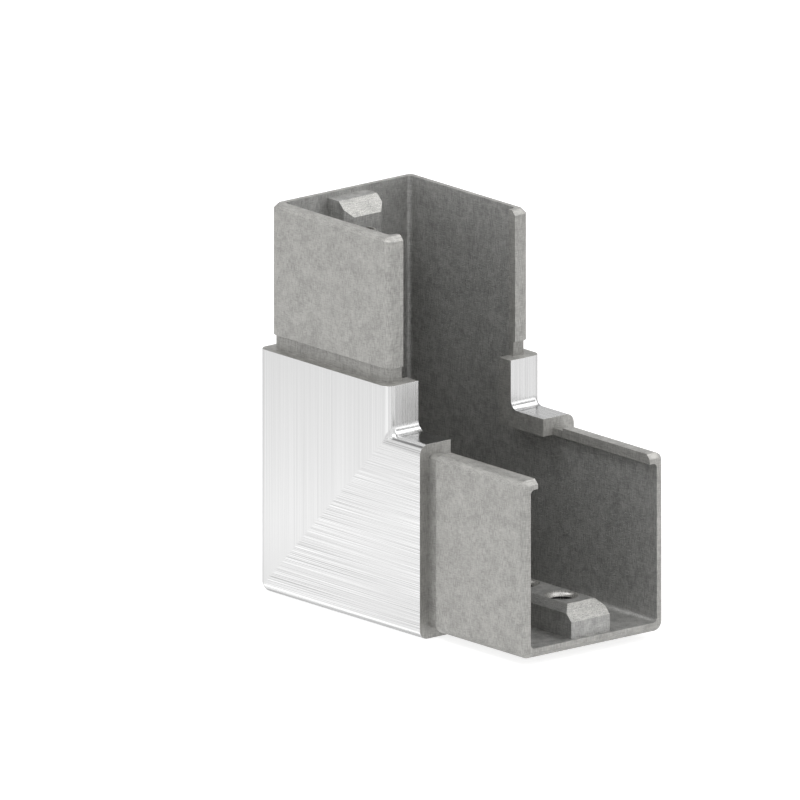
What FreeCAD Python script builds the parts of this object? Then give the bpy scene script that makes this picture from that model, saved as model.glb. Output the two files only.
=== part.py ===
"""Right-angle connector for slotted square handrail tube, one stainless casting.

The elbow is as wide as the tube. The spigot at each end slides into a tube, and the
slot of the tube runs on round the inside of the bend. A pad inside each spigot takes
two set screws, which are reached through the slot and clamp the tube. Units are mm.

The casting is drawn with its outer corner at X = 0, Z = 0 and its width centred on
Y = 0. One arm runs along +X and the other along +Z, and they are mirror images in
the plane X = Z. The finished part is moved so that its origin is at the middle of
its foot, under the centre of its bounding box.
"""

import FreeCAD
import Part

import os

# The tube that the connector joins.
TUBE_SIZE = 40.0          # outside of the square tube, and of the elbow
TUBE_WALL = 1.5
TUBE_SLOT = 24.0          # opening of the channel that is folded into the tube

# The elbow.
ELBOW_RUN = 10.0          # length of each arm beyond the inside of the bend
EDGE_RADIUS = 2.0         # long outer edges and outer corner
BEND_RADIUS = 2.0         # fillet at the inside of the bend

# The spigots.
SPIGOT_LENGTH = 30.0      # from the shoulder to the open end
SPIGOT_WALL = 2.0
SPIGOT_RADIUS = 1.9       # long outer edges
SPIGOT_FIT = 0.15         # clearance to the inside of the tube, on each side
CHANNEL_FIT = 1.0         # clearance to each side of the tube's folded channel
LEAD_IN = 1.0             # chamfer round the open end
GROOVE_LENGTH = 3.0       # glue groove behind the shoulder
GROOVE_DEPTH = 0.5
CORE_RADIUS = 1.0         # long inner edges

# The pads on the outer walls of the arms, and the threads of their set screws.
THREAD_SIZE = 6.0
THREAD_PITCH = 1.0
SCREW_SPACING = 12.0
SINK_MARGIN = 0.5         # countersink beyond the thread, on each side
PAD_WIDTH = 10.0
PAD_HEIGHT = 6.4
PAD_MARGIN = 9.0          # from the middle of a screw hole to the end of the pad
PAD_SETBACK = 1.0         # from the open end of the spigot to the pad
PAD_SIDE_CHAMFER = 1.5
PAD_END_CHAMFER = 3.0

# Sizes that follow from the ones above.
HALF_WIDTH = TUBE_SIZE / 2
SHOULDER = TUBE_SIZE + ELBOW_RUN
OPEN_END = SHOULDER + SPIGOT_LENGTH
SPIGOT_INSET = TUBE_WALL + SPIGOT_FIT
SPIGOT_SIZE = TUBE_SIZE - 2 * SPIGOT_INSET
SPIGOT_MOUTH = TUBE_SLOT + 2 * (TUBE_WALL + CHANNEL_FIT)
CORE_INSET = SPIGOT_INSET + SPIGOT_WALL
CORE_SIZE = TUBE_SIZE - 2 * CORE_INSET
PAD_TOP = CORE_INSET + PAD_HEIGHT
PAD_END = OPEN_END - PAD_SETBACK
PAD_LENGTH = SCREW_SPACING + 2 * PAD_MARGIN
SCREW_RADIUS = (THREAD_SIZE - THREAD_PITCH) / 2
SINK_RADIUS = THREAD_SIZE / 2 + SINK_MARGIN

CLEAR = 5.0               # how far a cutter runs out past the metal
TOUCH = 0.01              # closeness at which an edge counts as being in a place


def point(x, y, z):
    return FreeCAD.Vector(x, y, z)


def edges_at(shape, **place):
    """Edges that lie wholly at the given coordinates, such as x=0, z=0."""
    found = []
    for edge in shape.Edges:
        box = edge.BoundBox
        ends = {
            "x": (box.XMin, box.XMax),
            "y": (box.YMin, box.YMax),
            "z": (box.ZMin, box.ZMax),
        }
        if all(abs(end - place[axis]) < TOUCH for axis in place for end in ends[axis]):
            found.append(edge)
    return found


def prism(corners, run):
    """Solid with the given outline of corner points, extruded along the vector run."""
    outline = Part.makePolygon(corners + corners[:1])
    return Part.Face(outline).extrude(run)


def bar(size, radius, start, end):
    """Square bar on the axis of the +X arm, with its long edges rounded."""
    length = end - start
    inset = (TUBE_SIZE - size) / 2
    solid = Part.makeBox(length, size, size, point(start, -size / 2, inset))
    long_edges = [e for e in solid.Edges if e.BoundBox.XLength > length - TOUCH]
    return solid.makeFillet(radius, long_edges) if radius > 0 else solid


def elbow():
    """Solid elbow: an L-shaped plate as thick as the tube, rounded on all but its shoulders.

    The rounded edges of the two arms meet in a mitre. The fillet at the inside of the bend
    comes after them, so that it follows the mitre round and dies out at each side.
    """
    outline = [
        (0, 0),
        (SHOULDER, 0),
        (SHOULDER, TUBE_SIZE),
        (TUBE_SIZE, TUBE_SIZE),
        (TUBE_SIZE, SHOULDER),
        (0, SHOULDER),
    ]
    corners = [point(x, -HALF_WIDTH, z) for x, z in outline]
    plate = prism(corners, point(0, TUBE_SIZE, 0))
    shoulders = edges_at(plate, x=SHOULDER) + edges_at(plate, z=SHOULDER)
    rounded = edges_at(plate, x=0, z=0)
    for side in (-HALF_WIDTH, HALF_WIDTH):
        for edge in edges_at(plate, y=side):
            if not any(edge.isSame(other) for other in shoulders):
                rounded.append(edge)
    plate = plate.makeFillet(EDGE_RADIUS, rounded)
    return plate.makeFillet(BEND_RADIUS, edges_at(plate, x=TUBE_SIZE, z=TUBE_SIZE))


def spigot():
    """Solid spigot of the +X arm, with its glue groove and lead-in chamfer."""
    groove_end = SHOULDER + GROOVE_LENGTH
    neck_size = SPIGOT_SIZE - 2 * GROOVE_DEPTH
    neck = bar(neck_size, SPIGOT_RADIUS - GROOVE_DEPTH, SHOULDER - CORE_INSET, groove_end)
    plug = bar(SPIGOT_SIZE, SPIGOT_RADIUS, groove_end, OPEN_END)
    return neck.fuse(plug.makeChamfer(LEAD_IN, edges_at(plug, x=OPEN_END)))


def core():
    """Hollow of the +X arm, from the outer corner out past the open end."""
    length = OPEN_END + CLEAR - CORE_INSET
    corner = point(CORE_INSET, -CORE_SIZE / 2, CORE_INSET)
    hollow = Part.makeBox(length, CORE_SIZE, CORE_SIZE, corner)
    return hollow.makeFillet(CORE_RADIUS, hollow.Edges)


def bend_slot():
    """Slot round the inside of the bend, cut through from the hollow to the outside."""
    start = TUBE_SIZE - CORE_INSET - CORE_RADIUS
    run = OPEN_END + CLEAR - start
    return Part.makeBox(run, TUBE_SLOT, run, point(start, -TUBE_SLOT / 2, start))


def spigot_slot():
    """Wider slot through the inner wall of the +X arm's spigot."""
    bottom = TUBE_SIZE - CORE_INSET - CORE_RADIUS
    height = TUBE_SIZE - bottom
    corner = point(SHOULDER, -SPIGOT_MOUTH / 2, bottom)
    return Part.makeBox(SPIGOT_LENGTH + CLEAR, SPIGOT_MOUTH, height, corner)


def chamfered_profile(low, high, root, top, chamfer):
    """Corner pairs of a block's section, its two top corners cut off at 45 degrees."""
    return [
        (low, root),
        (high, root),
        (high, top - chamfer),
        (high - chamfer, top),
        (low + chamfer, top),
        (low, top - chamfer),
    ]


def pad():
    """Pad on the outer wall of the +X arm, rooted halfway down into the wall."""
    start = PAD_END - PAD_LENGTH
    half = PAD_WIDTH / 2
    root = CORE_INSET - SPIGOT_WALL / 2
    across = chamfered_profile(-half, half, root, PAD_TOP, PAD_SIDE_CHAMFER)
    along = chamfered_profile(start, PAD_END, root, PAD_TOP, PAD_END_CHAMFER)
    rail = prism([point(start, y, z) for y, z in across], point(PAD_LENGTH, 0, 0))
    wedge = prism([point(x, -half, z) for x, z in along], point(0, PAD_WIDTH, 0))
    return rail.common(wedge)


def screw_hole(x):
    """Cutter for one set screw: a core hole through pad and wall, and its countersink."""
    up = point(0, 0, 1)
    sink_depth = SINK_RADIUS - SCREW_RADIUS
    hole = Part.makeCylinder(SCREW_RADIUS, PAD_TOP + CLEAR, point(x, 0, -CLEAR / 2), up)
    sink = Part.makeCone(
        SCREW_RADIUS,
        SINK_RADIUS + sink_depth,
        2 * sink_depth,
        point(x, 0, PAD_TOP - sink_depth),
        up,
    )
    return hole.fuse(sink)


def screw_holes():
    """The pair of set screw holes in the pad of the +X arm."""
    outer = PAD_END - PAD_MARGIN
    return screw_hole(outer).fuse(screw_hole(outer - SCREW_SPACING))


def on_both_arms(shape):
    """A feature of the +X arm together with its mirror image on the +Z arm."""
    return shape.fuse(shape.mirror(point(0, 0, 0), point(1, 0, -1)))


def connector():
    """The whole casting, with its origin at the middle of its foot."""
    body = elbow().fuse(on_both_arms(spigot()))
    body = body.cut(on_both_arms(core()))
    body = body.cut(bend_slot())
    body = body.cut(on_both_arms(spigot_slot()))
    body = body.fuse(on_both_arms(pad()))
    body = body.cut(on_both_arms(screw_holes()))
    body = body.removeSplitter()
    body.translate(point(-OPEN_END / 2, 0, 0))
    return body


def main():
    os.makedirs("parts", exist_ok=True)
    body = connector()
    solid = body.Solids[0]
    solid.exportStep("parts/connector_body.step")
    box = solid.BoundBox
    print("solids:", len(body.Solids), " valid:", solid.isValid())
    print("size in mm:", round(box.XLength, 2), round(box.YLength, 2), round(box.ZLength, 2))
    print("volume in cm3:", round(solid.Volume / 1000, 2))


main()
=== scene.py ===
"""Dresses the right-angle connector for slotted square tube.

The casting keeps the shape of its CAD body. Its copy here gets broken edges, cut
threads, and a finish for each kind of surface: brushed on the outside of the elbow,
as cast on the spigots and inside, with painted shade in the glue grooves and a painted
highlight on the end chamfers, pitted and painted lighter as a highlight on the slopes of
the pads, freshly cut in the countersinks, and painted dark as shade in the threads.
"""

import logging
import math
from dataclasses import dataclass
from enum import Enum

import bmesh
import bpy
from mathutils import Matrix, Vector


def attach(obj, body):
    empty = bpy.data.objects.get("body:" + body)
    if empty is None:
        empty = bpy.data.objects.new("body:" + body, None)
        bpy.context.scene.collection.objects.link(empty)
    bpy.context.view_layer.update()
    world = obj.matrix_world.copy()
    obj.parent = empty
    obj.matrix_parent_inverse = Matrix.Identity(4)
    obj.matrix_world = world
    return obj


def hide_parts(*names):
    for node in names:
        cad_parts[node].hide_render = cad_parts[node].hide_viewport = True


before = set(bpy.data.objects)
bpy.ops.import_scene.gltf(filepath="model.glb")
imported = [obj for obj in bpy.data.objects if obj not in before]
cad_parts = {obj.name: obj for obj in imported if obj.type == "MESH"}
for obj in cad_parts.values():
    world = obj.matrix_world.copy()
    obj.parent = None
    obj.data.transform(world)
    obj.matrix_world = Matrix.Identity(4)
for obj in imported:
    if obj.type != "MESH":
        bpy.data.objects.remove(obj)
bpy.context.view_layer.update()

LOG = logging.getLogger("tube_connector")

MM = 0.001
TUBE = 40.0 * MM            # width of the elbow
REACH = 80.0 * MM           # from the outer corner to either open end
CORNER_X = -REACH / 2       # where the outer corner lies along X
NEAR = 0.02 * MM            # closeness that counts as lying in a place
MERGE = 0.002 * MM          # closeness at which two points of the mesh become one
DIAGONAL = 0.707            # X and Z of the direction that a 45 degree slope faces
WHITE = (1.0, 1.0, 1.0, 1.0)


class Arm(Enum):
    """The two arms of the connector, which mirror each other in the diagonal."""

    ALONG = "along"
    UPRIGHT = "upright"

    def place(self, run: float, across: float, depth: float) -> Vector:
        """Finds a point from its place on an arm.

        Args:
            run: Distance from the outer corner along the arm.
            across: Distance from the middle of the width.
            depth: Distance from the arm's outer wall, inwards.

        Returns:
            The point in the frame of the connector.
        """
        if self is Arm.ALONG:
            return Vector((CORNER_X + run, across, depth))
        return Vector((CORNER_X + depth, across, run))

    def read(self, at: Vector) -> Vector:
        """Finds a point's place on an arm, the reverse of place().

        Args:
            at: The point in the frame of the connector.

        Returns:
            Its run along the arm, its place across the width and its depth, as one vector.
        """
        run, depth = at.x - CORNER_X, at.z
        if self is Arm.UPRIGHT:
            run, depth = depth, run
        return Vector((run, at.y, depth))


class Skin(Enum):
    """The kinds of surface, each with its place in the casting's material slots."""

    CAST = 0
    BRUSHED = 1
    CORE = 2
    COUNTERSUNK = 3
    THREADED = 4
    PITTED = 5


class Field:
    """A socket of a shader node that can be used in arithmetic."""

    def __init__(self, shader: "Graph", socket: bpy.types.NodeSocket) -> None:
        """Wraps an output socket of a node in the given tree."""
        self.shader = shader
        self.socket = socket

    def _math(self, operation: str, *values: "Field | float") -> "Field":
        """Adds a Math node on these values, in order."""
        return self.shader.add("ShaderNodeMath", {"operation": operation}, *values)

    def __add__(self, other: "Field | float") -> "Field":
        """Sum."""
        return self._math("ADD", self, other)

    __radd__ = __add__

    def __sub__(self, other: "Field | float") -> "Field":
        """Difference."""
        return self._math("SUBTRACT", self, other)

    def __rsub__(self, other: float) -> "Field":
        """Difference from a number."""
        return self._math("SUBTRACT", other, self)

    def __mul__(self, other: "Field | float") -> "Field":
        """Product."""
        return self._math("MULTIPLY", self, other)

    __rmul__ = __mul__

    def size(self) -> "Field":
        """Distance from zero."""
        return self._math("ABSOLUTE", self)

    def above(self, other: "Field | float") -> "Field":
        """One where this is greater than the other, zero elsewhere."""
        return self._math("GREATER_THAN", self, other)

    def ramp(self, low: float, high: float, start: float = 0.0, end: float = 1.0) -> "Field":
        """Maps a range smoothly onto another, and holds its ends.

        Args:
            low: Value that becomes start.
            high: Value that becomes end.
            start: Result at and below low.
            end: Result at and above high.

        Returns:
            The mapped field.
        """
        settings = {"interpolation_type": "SMOOTHSTEP"}
        return self.shader.add("ShaderNodeMapRange", settings, self, low, high, start, end)


Value = Field | Vector | tuple | float


class Graph:
    """Builds a tree of shader nodes."""

    def __init__(self, owner: bpy.types.Material | bpy.types.World) -> None:
        """Starts an empty tree.

        Args:
            owner: The material or world that the tree is for.
        """
        owner.use_nodes = True
        self.tree = owner.node_tree
        self.tree.nodes.clear()

    def node(
        self, kind: str, settings: dict[str, str], *values: Value, **named: Value
    ) -> bpy.types.Node:
        """Adds a node.

        Args:
            kind: The node's type.
            settings: Attributes set before its sockets are, such as an operation.
            *values: Numbers, vectors or fields for its input sockets, in order.
            **named: The same by socket name, with _ for a space.

        Returns:
            The new node.
        """
        node = self.tree.nodes.new(kind)
        for key, value in settings.items():
            setattr(node, key, value)
        inputs = list(zip(node.inputs, values))
        inputs += [(node.inputs[key.replace("_", " ")], value) for key, value in named.items()]
        for socket, value in inputs:
            if isinstance(value, Field):
                self.tree.links.new(value.socket, socket)
            else:
                socket.default_value = value
        return node

    def add(
        self, kind: str, settings: dict[str, str], *values: Value, out: str | int = 0, **named: Value
    ) -> Field:
        """Adds a node, as node() does, and returns one of its outputs as a field."""
        return Field(self, self.node(kind, settings, *values, **named).outputs[out])

    def ray(self, *kinds: str) -> Field:
        """Tells what kind of ray meets the surface.

        Args:
            *kinds: Outputs of the Light Path node, such as Is Camera Ray.

        Returns:
            One for a ray of any of these kinds, and zero for others.
        """
        node = self.node("ShaderNodeLightPath", {})
        fields = [Field(self, node.outputs[kind]) for kind in kinds]
        return sum(fields[1:], fields[0])

    def parts(self, vector: Field) -> tuple[Field, Field, Field]:
        """The X, Y and Z of a vector field."""
        node = self.node("ShaderNodeSeparateXYZ", {}, vector)
        return tuple(Field(self, socket) for socket in node.outputs)

    def stretched(
        self, vector: Field, scale: tuple[float, float, float], shift: float = 0.0
    ) -> Field:
        """A vector field with each direction scaled, then moved by a shift."""
        return self.add("ShaderNodeMapping", {}, vector, (shift,) * 3, Scale=scale)

    def noise(self, vector: Field, scale: float, detail: float, roughness: float = 0.5) -> Field:
        """Makes cloudy noise about 0.5.

        Args:
            vector: Where to read it.
            scale: Features per metre.
            detail: Octaves of finer noise.
            roughness: Strength of the finer octaves.

        Returns:
            The noise as a field.
        """
        return self.add(
            "ShaderNodeTexNoise", {}, vector, Scale=scale, Detail=detail, Roughness=roughness
        )

    def tint(
        self,
        amount: Field,
        dark: tuple[float, float, float],
        light: tuple[float, float, float],
    ) -> Field:
        """Mixes two colours.

        Args:
            amount: Where to take which, from 0 to 1.
            dark: Colour where the amount is 0.
            light: Colour where it is 1.

        Returns:
            The mixed colour as a field.
        """
        node = self.node("ShaderNodeMix", {"data_type": "RGBA"})
        self.tree.links.new(amount.socket, node.inputs[0])
        colours = [socket for socket in node.inputs if socket.type == "RGBA"]
        for socket, colour in zip(colours, (dark, light)):
            socket.default_value = (*colour, 1.0)
        return Field(self, next(socket for socket in node.outputs if socket.type == "RGBA"))

    def grey(self, level: Field) -> Field:
        """A colour of equal red, green and blue."""
        return self.add("ShaderNodeCombineColor", {}, level, level, level)

    def scaled(self, colour: Field, amount: Field) -> Field:
        """A colour made darker or lighter by a factor."""
        return self.add("ShaderNodeVectorMath", {"operation": "SCALE"}, colour, Scale=amount)

    def choose(self, amount: Field, low: Field | float, high: Field | float) -> Field:
        """Low where the amount is 0 and high where it is 1."""
        return low * (1.0 - amount) + high * amount

    def bump(self, height: Field, depth: float) -> Field:
        """Normals roughened by a height field, whose full range is depth metres."""
        return self.add("ShaderNodeBump", {}, Distance=depth, Height=height, out="Normal")


class Shader(Graph):
    """Builds one material from nodes."""

    def __init__(self, name: str) -> None:
        """Starts an empty material with this name."""
        self.material = bpy.data.materials.new(name)
        super().__init__(self.material)

    def at(self) -> Field:
        """The place on the object, in metres in the connector's own frame."""
        return self.add("ShaderNodeTexCoord", {}, out="Object")

    def facing(self) -> tuple[Field, Field, Field]:
        """The X, Y and Z of the direction that the surface faces, in the connector's frame."""
        return self.parts(self.add("ShaderNodeTexCoord", {}, out="Normal"))

    def finish(self, **inputs: Value) -> bpy.types.Material:
        """Ends the material with a Principled surface.

        Args:
            **inputs: The surface's inputs by name, with _ for a space.

        Returns:
            The finished material.
        """
        surface = self.add("ShaderNodeBsdfPrincipled", {}, **inputs)
        self.node("ShaderNodeOutputMaterial", {}, surface)
        return self.material


@dataclass(frozen=True)
class Strokes:
    """One layer of strokes that a brush leaves."""

    width: float
    length: float
    share: float

    def field(self, shader: Shader, at: Field, run: int, shift: float) -> Field:
        """Makes the layer.

        Args:
            shader: The material it is for.
            at: The place on the object.
            run: 0 for strokes along X and 2 for strokes along Z.
            shift: Moves the pattern, so that no two layers share one.

        Returns:
            A field about zero.
        """
        scale = [1.0 / self.width] * 3
        scale[run] = 1.0 / self.length
        moved = shader.stretched(at, tuple(scale), shift)
        return (shader.noise(moved, 1.0, 1.0) - 0.5) * self.share


@dataclass(frozen=True)
class BrushedFinish:
    """Fine strokes along each arm, mitred where the arms meet.

    The walls that face X are the flanks, which were brushed a little rougher.
    """

    along_tone: float = 0.71
    upright_tone: float = 0.70
    mark_tone: float = 0.5
    edge: tuple[float, float, float, float] = (0.6, 0.6, 0.6, 1.0)
    roughness: float = 0.13
    flank_roughness: float = 0.26
    mark_roughness: float = 0.2
    mark_height: float = 0.006 * MM
    layers: tuple[Strokes, ...] = (
        Strokes(0.10 * MM, 60.0 * MM, 2.0),
        Strokes(0.22 * MM, 90.0 * MM, 0.12),
        Strokes(1.40 * MM, 120.0 * MM, 0.05),
    )
    layer_shift: float = 3.7
    along_depth: float = 1.3
    upright_depth: float = 0.32
    flank_depth: float = 0.5
    flank_turn: tuple[float, float] = (0.6, 0.95)
    mitre: float = 0.6 * MM

    def brushing(self, shader: Shader, at: Field, run: int) -> Field:
        """Adds up the layers of strokes in one direction.

        Args:
            shader: The material they are for.
            at: The place on the object.
            run: 0 for strokes along X and 2 for strokes along Z.

        Returns:
            A field about zero.
        """
        fields = [
            layer.field(shader, at, run, self.layer_shift * step + run)
            for step, layer in enumerate(self.layers)
        ]
        return sum(fields[1:], fields[0])

    def material(self) -> bpy.types.Material:
        """Builds the material.

        Returns:
            The brushed finish of the elbow.
        """
        shader = Shader("brushed_elbow")
        at = shader.at()
        x, _, z = shader.parts(at)
        upright = (z - (x - CORNER_X)).ramp(-self.mitre, self.mitre)
        facing_x = shader.facing()[0].size()
        depth = facing_x.ramp(*self.flank_turn, self.upright_depth, self.flank_depth)
        mark = shader.choose(
            upright,
            self.brushing(shader, at, 0) * self.along_depth,
            self.brushing(shader, at, 2) * depth,
        )
        tone = upright.ramp(0.0, 1.0, self.along_tone, self.upright_tone)
        roughness = facing_x.ramp(*self.flank_turn, self.roughness, self.flank_roughness)
        return shader.finish(
            Base_Color=shader.grey(mark * self.mark_tone + tone),
            Metallic=1.0,
            Roughness=mark * self.mark_roughness + roughness,
            Specular_Tint=self.edge,
            Normal=shader.bump(mark, self.mark_height),
        )


@dataclass(frozen=True)
class CastFinish:
    """Blasted casting: grey clouds under a fine grain that looks woven.

    The glue grooves can be darkened with painted shade, the chamfers at the open ends
    lightened with a painted highlight, and pits can differ in tone, where 1 is no
    difference. A share is how much of the tone a pattern makes up.
    """

    name: str
    dark: tuple[float, float, float]
    light: tuple[float, float, float]
    contrast: tuple[float, float] = (0.39, 0.61)
    metallic: float = 0.85
    roughness: float = 0.55
    roughness_swing: float = 0.06
    cloud: float = 2.4 * MM
    cloud_share: float = 0.18
    grain: float = 0.22 * MM
    grain_share: float = 0.18
    grain_range: tuple[float, float] = (0.3, 0.7)
    grain_height: float = 0.08 * MM
    streak: tuple[float, float] = (0.12 * MM, 1.4 * MM)
    upright_share: float = 0.38
    level_share: float = 0.26
    level_shift: float = 5.0
    groove: tuple[float, float] = (50.0 * MM, 53.0 * MM)
    # Painted shade in the glue grooves; 1 paints none.
    groove_shade: float = 1.0
    # Painted highlight on the end chamfers; 1 paints none.
    chamfer_highlight: float = 1.0
    chamfer_turn: tuple[float, float] = (0.35, 0.5)
    pit: float = 0.17 * MM
    pit_tone: float = 1.0
    pit_edge: tuple[float, float] = (0.30, 0.42)

    def material(self) -> bpy.types.Material:
        """Builds the material.

        Returns:
            The cast finish under its own name.
        """
        shader = Shader(self.name)
        at = shader.at()
        clouds = shader.noise(at, 1.0 / self.cloud, 2.0, 0.5) * self.cloud_share
        grain = shader.noise(at, 1.0 / self.grain, 2.0, 0.6)
        tone = clouds + grain * self.grain_share + self.weave(shader, at)
        colour = shader.tint(tone.ramp(*self.contrast), self.dark, self.light)
        swing = (self.roughness - self.roughness_swing, self.roughness + self.roughness_swing)
        return shader.finish(
            Base_Color=shader.scaled(colour, self.shade(shader, at)),
            Metallic=self.metallic,
            Roughness=grain.ramp(*self.grain_range, *swing),
            Normal=shader.bump(grain, self.grain_height),
        )

    def weave(self, shader: Shader, at: Field) -> Field:
        """Crosses fine upright streaks with fine level ones.

        Args:
            shader: The material they are for.
            at: The place on the object.

        Returns:
            What the streaks add to the tone.
        """
        fine, coarse = (1.0 / size for size in self.streak)
        upright = shader.stretched(at, (fine, fine, coarse))
        level = shader.stretched(at, (coarse, coarse, fine), self.level_shift)
        return (
            shader.noise(upright, 1.0, 1.0) * self.upright_share
            + shader.noise(level, 1.0, 1.0) * self.level_share
        )

    def shade(self, shader: Shader, at: Field) -> Field:
        """Paints shade into the grooves and a highlight onto the chamfers, and darkens the pits.

        Args:
            shader: The material it is for.
            at: The place on the object.

        Returns:
            A factor for the colour.
        """
        x, _, z = shader.parts(at)
        in_groove = self.within_groove(x - CORNER_X) + self.within_groove(z)
        facing_x, _, facing_z = shader.facing()
        slope = facing_x.size() * facing_z.size()
        # Painted shade: the glue grooves are darkened, where the recess lies in shade.
        shade = 1.0 - in_groove * (1.0 - self.groove_shade)
        # Painted highlight: chamfers that face X and Z alike are lightened, as if they caught the
        # light.
        shade = shade * slope.ramp(*self.chamfer_turn, 1.0, self.chamfer_highlight)
        if self.pit_tone < 1.0:
            pits = shader.noise(at, 1.0 / self.pit, 1.0)
            shade = shade * pits.ramp(*self.pit_edge, self.pit_tone, 1.0)
        return shade

    def within_groove(self, run: Field) -> Field:
        """One where the run along an arm is within its groove."""
        start, end = self.groove
        return run.above(start) * (1.0 - run.above(end))


@dataclass(frozen=True)
class CutFinish:
    """Metal that a cutter has left bare: lighter and darker marks down the slope."""

    name: str
    dark: tuple[float, float, float]
    light: tuple[float, float, float]
    roughness: float = 0.32
    mark: tuple[float, float] = (0.25 * MM, 1.2 * MM)
    contrast: tuple[float, float] = (0.35, 0.65)

    def material(self) -> bpy.types.Material:
        """Builds the material.

        Returns:
            The cut finish under its own name.
        """
        shader = Shader(self.name)
        width, height = self.mark
        at = shader.stretched(shader.at(), (1.0 / width, 1.0 / width, 1.0 / height))
        marks = shader.noise(at, 1.0, 2.0).ramp(*self.contrast)
        return shader.finish(
            Base_Color=shader.tint(marks, self.dark, self.light),
            Metallic=1.0,
            Roughness=self.roughness,
        )


FINISHES = {
    Skin.CAST: CastFinish(
        "cast_outside", (0.32, 0.316, 0.303), (0.508, 0.502, 0.482),
        # Painted shade darkens the glue grooves, and a painted highlight lightens the end chamfers.
        groove_shade=0.85, chamfer_highlight=1.1,
    ),
    Skin.BRUSHED: BrushedFinish(),
    Skin.CORE: CastFinish("cast_core", (0.31, 0.309, 0.302), (0.523, 0.522, 0.51)),
    # Painted highlight: the pad slopes get a lighter copy of the cast colour, as if they caught more
    # light; the pits are real.
    Skin.PITTED: CastFinish(
        "pad_chamfer_highlight", (0.36, 0.358, 0.347), (0.63, 0.625, 0.60), pit_tone=0.5
    ),
    Skin.COUNTERSUNK: CutFinish(
        "countersink", (0.44, 0.435, 0.42), (0.74, 0.73, 0.70), roughness=0.42
    ),
    # Painted shade: the thread is coloured near black, as the inside of a bore lies in shade.
    Skin.THREADED: CutFinish("thread", (0.08, 0.08, 0.077), (0.16, 0.16, 0.155)),
}


@dataclass
class ScrewHole:
    """A tapped hole through a pad and the wall behind it.

    Its axis is at one run along the arm, and its depths are from the arm's outer wall.
    """

    arm: Arm
    run: float
    radius: float = 2.5 * MM
    outer_end: float = 1.65 * MM
    inner_end: float = 9.05 * MM
    mouth: float = 3.5 * MM
    pad_top: float = 10.05 * MM
    pitch: float = 1.0 * MM
    thread_depth: float = 0.5 * MM
    rows_per_turn: int = 8

    def off_axis(self, at: Vector) -> tuple[float, float, float]:
        """Gives a point's distance from the axis, angle round it and depth along it."""
        run, across, depth = self.arm.read(at)
        return math.hypot(run - self.run, across), math.atan2(across, run - self.run), depth

    def on_wall(self, at: Vector) -> bool:
        """Tells whether a point is on the wall of the bore.

        Args:
            at: The point.

        Returns:
            True if it is.
        """
        away, _, depth = self.off_axis(at)
        inside = self.outer_end - NEAR < depth < self.inner_end + NEAR
        return inside and abs(away - self.radius) < NEAR

    def in_mouth(self, at: Vector) -> bool:
        """True if a point is on the countersink's slope or its rim."""
        away, _, depth = self.off_axis(at)
        return away < self.mouth + NEAR and self.inner_end - NEAR < depth < self.pad_top + NEAR

    def made(self, at: Vector) -> bool:
        """True if a point is on the wall of the bore or on the countersink."""
        return self.on_wall(at) or self.in_mouth(at)

    def skin(self, face: bmesh.types.BMFace) -> Skin | None:
        """Gives the kind of surface of a face that the hole's cutters made.

        Args:
            face: A face of the casting.

        Returns:
            The kind of surface, or None if the hole didn't make the face.
        """
        if all(self.on_wall(v.co) for v in face.verts):
            return Skin.THREADED
        if all(self.in_mouth(v.co) for v in face.verts):
            return Skin.COUNTERSUNK
        return None

    def cut_thread(self, mesh: bmesh.types.BMesh) -> int:
        """Cuts the thread into the wall of the bore.

        Args:
            mesh: The casting.

        Returns:
            The number of rows that the wall was divided into.
        """
        wall = [f for f in mesh.faces if all(self.on_wall(v.co) for v in f.verts)]
        lengthwise = []
        for edge in dict.fromkeys(e for f in wall for e in f.edges):
            depths = [self.off_axis(v.co)[2] for v in edge.verts]
            if abs(depths[0] - depths[1]) > self.pitch:
                lengthwise.append(edge)
        rows = round((self.inner_end - self.outer_end) / self.pitch * self.rows_per_turn)
        bmesh.ops.subdivide_edges(mesh, edges=lengthwise, cuts=rows - 1, use_grid_fill=True)
        for vert in mesh.verts:
            if self.on_wall(vert.co):
                self.sink(vert)
        return rows

    def sink(self, vert: bmesh.types.BMVert) -> None:
        """Moves a point of the wall out by the depth of the thread there.

        Args:
            vert: A vertex on the wall of the bore.
        """
        away, angle, depth = self.off_axis(vert.co)
        turn = (depth / self.pitch - angle / math.tau) % 1.0
        groove = 1.0 - abs(2.0 * turn - 1.0)
        ends = min(depth - self.outer_end, self.inner_end - depth) / self.pitch
        reach = self.radius + self.thread_depth * groove * max(0.0, min(1.0, ends))
        axis = self.arm.place(self.run, 0.0, depth)
        vert.co = axis + (vert.co - axis) * (reach / away)


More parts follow.
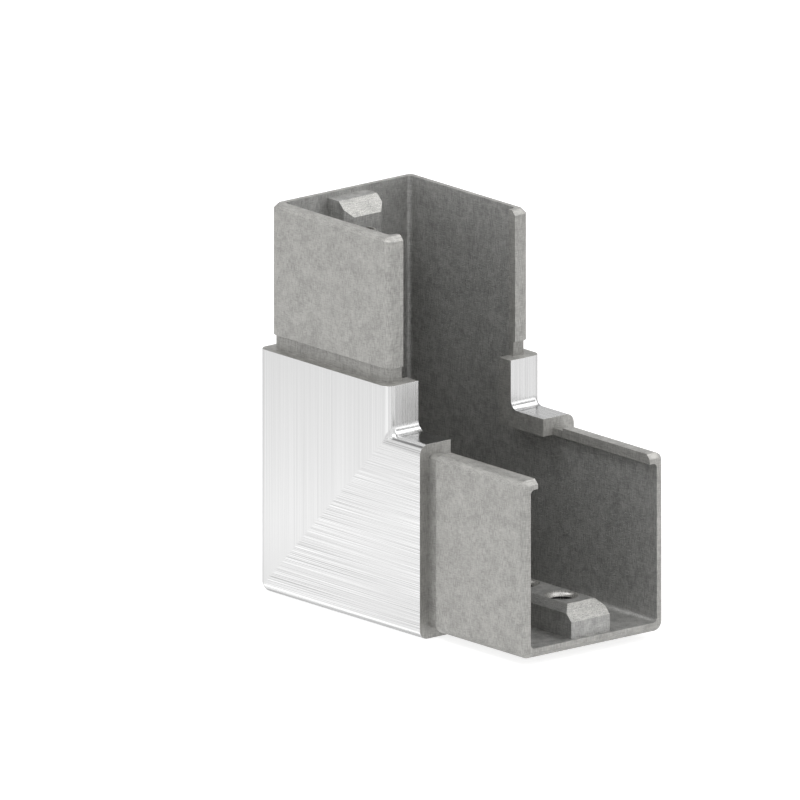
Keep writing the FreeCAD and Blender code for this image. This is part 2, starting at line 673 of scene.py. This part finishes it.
@dataclass
class Casting:
    """The whole connector, made from its CAD body.

    Faces meet in an edge where they turn by more than the sharp angle, and are one plane
    where they turn by less than the flat one.
    """

    edge_break: float = 0.08 * MM
    break_steps: int = 2
    sharp: float = math.radians(30.0)
    flat: float = math.radians(0.5)
    turn_slack: float = 0.02
    core_reach: float = 17.0 * MM
    pad_slope: tuple[float, float] = (7.0 * MM, 10.05 * MM)
    pad_half: float = 5.0 * MM
    hole_runs: tuple[float, float] = (58.0 * MM, 70.0 * MM)

    def build(self) -> bpy.types.Object:
        """Makes the finished piece.

        Returns:
            The object, with its finishes, in place of the CAD body.
        """
        holes = [ScrewHole(arm, run) for arm in Arm for run in self.hole_runs]
        mesh = bmesh.new()
        mesh.from_mesh(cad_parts["connector_body"].data)
        bmesh.ops.remove_doubles(mesh, verts=mesh.verts, dist=MERGE)
        bmesh.ops.dissolve_limit(
            mesh, angle_limit=self.flat, verts=mesh.verts, edges=mesh.edges
        )
        self.mark_skins(mesh, holes)
        self.break_edges(mesh, holes)
        for hole in holes:
            LOG.info("thread cut in %s arm, %d rows", hole.arm.value, hole.cut_thread(mesh))
        piece = self.as_object(mesh)
        for skin in Skin:
            piece.data.materials.append(FINISHES[skin].material())
        return piece

    def mark_skins(self, mesh: bmesh.types.BMesh, holes: list[ScrewHole]) -> None:
        """Gives each face its kind of surface.

        Args:
            mesh: The casting.
            holes: Its screw holes.
        """
        for face in mesh.faces:
            inside = all(self.within_core(v.co) for v in face.verts)
            skin = Skin.CORE if inside else Skin.CAST
            if any(self.on_pad_end(face, arm) for arm in Arm):
                skin = Skin.PITTED
            for hole in holes:
                skin = hole.skin(face) or skin
            face.material_index = skin.value
        for face in self.outside_of_elbow(mesh):
            face.material_index = Skin.BRUSHED.value

    def within_core(self, at: Vector) -> bool:
        """Tells whether a point is on the hollow side of the walls.

        Args:
            at: The point.

        Returns:
            True if it is.
        """
        if abs(at.y) > self.core_reach:
            return False
        return any(abs(arm.read(at).z - TUBE / 2) < self.core_reach for arm in Arm)

    def on_pad_end(self, face: bmesh.types.BMFace, arm: Arm) -> bool:
        """Tells whether a face is the slope at either end of a pad.

        Args:
            face: A face of the casting.
            arm: The arm with the pad.

        Returns:
            True if it is.
        """
        run, across, depth = arm.read(face.calc_center_median())
        turns = (abs(face.normal.x), abs(face.normal.z))
        slope = all(abs(turn - DIAGONAL) < self.turn_slack for turn in turns)
        low, high = self.pad_slope
        return slope and low < depth < high and abs(across) < self.pad_half and run > TUBE

    def outside_of_elbow(self, mesh: bmesh.types.BMesh) -> set[bmesh.types.BMFace]:
        """Collects the faces that run smoothly on from the side of the elbow.

        Args:
            mesh: The casting.

        Returns:
            The faces, the side itself among them.
        """
        seed = next(
            f for f in mesh.faces
            if f.normal.y < self.turn_slack - 1.0
            and abs(f.calc_center_median().y + TUBE / 2) < NEAR
        )
        found, unsearched = {seed}, [seed]
        while unsearched:
            for edge in unsearched.pop().edges:
                if edge.calc_face_angle() < self.sharp:
                    fresh = [f for f in edge.link_faces if f not in found]
                    found.update(fresh)
                    unsearched.extend(fresh)
        return found

    def break_edges(self, mesh: bmesh.types.BMesh, holes: list[ScrewHole]) -> None:
        """Takes the sharpness off every edge but those that a hole's cutters made.

        Args:
            mesh: The casting.
            holes: Its screw holes.
        """
        edges = [
            e for e in mesh.edges
            if e.calc_face_angle() > self.sharp
            and not any(all(hole.made(v.co) for v in e.verts) for hole in holes)
        ]
        bmesh.ops.bevel(
            mesh, geom=edges, offset=self.edge_break, offset_type="OFFSET",
            segments=self.break_steps, profile=0.5, affect="EDGES", material=-1,
            clamp_overlap=True,
        )

    def as_object(self, mesh: bmesh.types.BMesh) -> bpy.types.Object:
        """Turns the mesh into an object in the scene, shaded smooth.

        Args:
            mesh: The casting, which is used up.

        Returns:
            The object, whose flat faces stay flat.
        """
        data = bpy.data.meshes.new("connector_casting")
        mesh.to_mesh(data)
        mesh.free()
        data.shade_smooth()
        piece = bpy.data.objects.new("connector_casting", data)
        bpy.context.scene.collection.objects.link(piece)
        weigh = piece.modifiers.new("flat_faces", "WEIGHTED_NORMAL")
        weigh.keep_sharp = True
        return piece


@dataclass(frozen=True)
class Lamp:
    """A soft square lamp."""

    name: str
    place: tuple[float, float, float]
    size: float
    watts: float

    def hang(self, target: tuple[float, float, float]) -> None:
        """Hangs the lamp in the scene.

        Args:
            target: The place that it points at.
        """
        data = bpy.data.lights.new(self.name, "AREA")
        data.size = self.size
        data.energy = self.watts
        place = Vector(self.place)
        hung = bpy.data.objects.new(self.name, data)
        hung.location = place
        hung.rotation_euler = (Vector(target) - place).to_track_quat("-Z", "Y").to_euler()
        bpy.context.scene.collection.objects.link(hung)


@dataclass(frozen=True)
class Glow:
    """A soft patch of the room that is lighter or darker than the rest.

    Its radius and the fade outside it are in degrees, as seen from the connector.
    """

    toward: tuple[float, float, float]
    radius: float
    fade: float
    gain: float

    def field(self, graph: Graph, away: Field) -> Field:
        """Makes the light that the patch adds in each direction.

        Args:
            graph: The room's nodes.
            away: The direction, as seen from the connector.

        Returns:
            The gain in the patch, and zero outside it.
        """
        facing = graph.add(
            "ShaderNodeVectorMath", {"operation": "DOT_PRODUCT"}, away,
            Vector(self.toward).normalized(), out="Value",
        )
        rim = math.cos(math.radians(self.radius + self.fade))
        core = math.cos(math.radians(self.radius))
        return facing.ramp(rim, core) * self.gain


@dataclass(frozen=True)
class PaintedLightPool:
    """A painted pool of light: a soft round patch of the floor that metal mirrors lighter than the
    rest.
    """

    place: tuple[float, float]
    radius: float
    fade: float
    gain: float

    def field(self, graph: Graph, at: Field) -> Field:
        """Makes the painted light that the pool adds in each place on the floor.

        Args:
            graph: The floor's nodes.
            at: The place on the floor.

        Returns:
            The gain in the patch, and zero outside it.
        """
        reach = graph.add(
            "ShaderNodeVectorMath", {"operation": "DISTANCE"}, at, (*self.place, 0.0), out="Value"
        )
        return reach.ramp(self.radius, self.radius + self.fade, self.gain, 0.0)


@dataclass(frozen=True)
class Foot:
    """The rectangle of floor that the elbow stands on, with a painted bright rim round it and a
    painted shadow beneath it.
    """

    middle: tuple[float, float]
    half: tuple[float, float]

    def field(self, shader: Shader, at: Field, inner: float, outer: float) -> Field:
        """Makes a field of one on the foot, fading between two distances from its sides.

        Args:
            shader: The floor's material.
            at: The place on the floor.
            inner: Distance out from each side where the fade starts.
            outer: Distance out from each side where it ends.

        Returns:
            A field from 0 to 1.
        """
        sides = [
            (place - middle).size().ramp(half + inner, half + outer, 1.0, 0.0)
            for place, middle, half in zip(shader.parts(at), self.middle, self.half)
        ]
        return sides[0] * sides[1]


@dataclass(frozen=True)
class Floor:
    """A pale floor that shows white and keeps the shadow.

    It has one matte tone. On top of that it glows for rays from the camera and for those
    that metal mirrors, and for no others, so the glow isn't a lamp. What metal mirrors has
    painted pools of light, a painted bright rim round the foot and a painted shadow beneath it.
    """

    half_size: float = 6.0
    tone: float = 0.50
    glow: float = 0.76
    mirrored_glow: float = 0.38
    # Painted pools of light on the floor, seen only in metal.
    painted_pools: tuple[PaintedLightPool, ...] = (
        PaintedLightPool((-0.04, 0.0), 0.04, 0.22, 0.20),
        PaintedLightPool((-0.06, -0.04), 0.02, 0.06, 0.04),
        PaintedLightPool((0.076, -0.178), 0.01, 0.07, 0.34),
        PaintedLightPool((0.16, 0.13), 0.03, 0.12, 0.13),
    )
    foot: Foot = Foot((-15.0 * MM, 0.0), (25.0 * MM, 20.0 * MM))
    # Painted light: a lighter rim of floor round the foot, seen only in metal.
    rim: tuple[float, float] = (0.5 * MM, 5.0 * MM)
    rim_light_gain: float = 0.55
    # Painted shadow: the floor beneath the foot is darker in what metal mirrors.
    painted_shadow: tuple[float, float] = (0.1 * MM, 0.7 * MM)
    painted_shadow_depth: float = 0.45

    def build(self) -> None:
        """Lays the floor and gives it its finish."""
        mesh = bmesh.new()
        bmesh.ops.create_grid(mesh, x_segments=1, y_segments=1, size=self.half_size)
        data = bpy.data.meshes.new("floor")
        mesh.to_mesh(data)
        mesh.free()
        data.materials.append(self.material())
        floor = bpy.data.objects.new("floor", data)
        bpy.context.scene.collection.objects.link(floor)

    def material(self) -> bpy.types.Material:
        """Builds the material.

        Returns:
            A matte tone with the two glows added.
        """
        shader = Shader("pale_floor")
        matte = shader.add("ShaderNodeBsdfDiffuse", {}, (*[self.tone] * 3, 1.0))
        seen = shader.ray("Is Camera Ray")
        backdrop = shader.add("ShaderNodeEmission", {}, WHITE, seen * self.glow)
        mirrored = shader.ray("Is Glossy Ray", "Is Transmission Ray")
        white = shader.grey(self.mirrored(shader, shader.at()))
        glow = shader.add("ShaderNodeEmission", {}, white, mirrored)
        glow = shader.add("ShaderNodeAddShader", {}, glow, backdrop)
        surface = shader.add("ShaderNodeAddShader", {}, matte, glow)
        shader.node("ShaderNodeOutputMaterial", {}, surface)
        return shader.material

    def mirrored(self, shader: Shader, at: Field) -> Field:
        """Makes the white that polished metal mirrors, with painted pools of light, a painted bright
        rim round the foot and a painted shadow beneath it.

        Args:
            shader: The floor's material.
            at: The place on the floor.

        Returns:
            The level of white.
        """
        white = sum((pool.field(shader, at) for pool in self.painted_pools), self.mirrored_glow)
        rim_light = self.foot.field(shader, at, *self.rim)
        painted_shadow = self.foot.field(shader, at, *self.painted_shadow)
        # Painted light and shadow in what metal mirrors: pools and a rim lighter, the floor beneath
        # the foot darker.
        return (white + rim_light * self.rim_light_gain) * (1.0 - painted_shadow * self.painted_shadow_depth)


@dataclass(frozen=True)
class Studio:
    """The floor, the lights and the camera."""

    azimuth: float = math.radians(50.0)
    elevation: float = math.radians(15.0)
    frame_width: float = 159.05 * MM
    target: tuple[float, float, float] = (-19.98 * MM, 0.0, 39.88 * MM)
    distance: float = 2.0
    clip: tuple[float, float] = (0.01, 20.0)
    room_level: float = 1.0
    backdrop_level: float = 1.0
    glows: tuple[Glow, ...] = (
        Glow((0.0, 0.62, 0.60), 0.0, 85.0, -0.60),
        Glow((0.30, 0.62, 0.72), 0.0, 46.0, 1.85),
        Glow((0.73, 0.62, 0.28), 4.0, 10.0, 0.35),
        Glow((0.50, 0.62, 0.61), 5.0, 9.0, -1.95),
        Glow((-0.74, 0.62, 0.26), 6.0, 16.0, 0.36),
        Glow((-0.74, -0.28, 0.55), 8.0, 35.0, -0.14),
        Glow((-0.74, -0.02, 0.68), 12.0, 14.0, -0.46),
    )
    lamps: tuple[Lamp, ...] = (
        Lamp("front", (-0.04, -0.20, 0.36), 0.14, 0.5),
    )

    def build(self) -> None:
        """Makes the whole studio."""
        self.set_camera()
        Floor().build()
        self.fill_room()
        for lamp in self.lamps:
            lamp.hang(self.target)

    def set_camera(self) -> None:
        """Sets the camera at the photograph's angle, with parallel projection."""
        data = bpy.data.cameras.new("camera")
        data.type = "ORTHO"
        data.ortho_scale = self.frame_width
        data.clip_start, data.clip_end = self.clip
        camera = bpy.data.objects.new("camera", data)
        bpy.context.scene.collection.objects.link(camera)
        level = math.cos(self.elevation)
        back = Vector((
            math.sin(self.azimuth) * level,
            -math.cos(self.azimuth) * level,
            math.sin(self.elevation),
        ))
        camera.location = Vector(self.target) + back * self.distance
        camera.rotation_euler = (-back).to_track_quat("-Z", "Y").to_euler()
        bpy.context.scene.camera = camera

    def fill_room(self) -> None:
        """Fills the room with soft light, and shows the camera a plain white one."""
        world = bpy.data.worlds.new("room")
        bpy.context.scene.world = world
        graph = Graph(world)
        away = graph.add("ShaderNodeTexCoord", {}, out="Generated")
        level = sum((glow.field(graph, away) for glow in self.glows), self.room_level)
        level = graph.choose(graph.ray("Is Camera Ray"), level, self.backdrop_level)
        light = graph.add("ShaderNodeBackground", {}, WHITE, level)
        graph.node("ShaderNodeOutputWorld", {}, light)


def main() -> None:
    """Builds the connector and its studio, and logs how many faces the casting has."""
    logging.basicConfig(level=logging.INFO, format="%(message)s")
    casting = Casting().build()
    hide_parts("connector_body")
    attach(casting, "root")
    LOG.info("%s: %d faces", casting.name, len(casting.data.polygons))
    Studio().build()
    bpy.context.scene.view_settings.view_transform = "Standard"


if __name__ == "__main__":
    main()
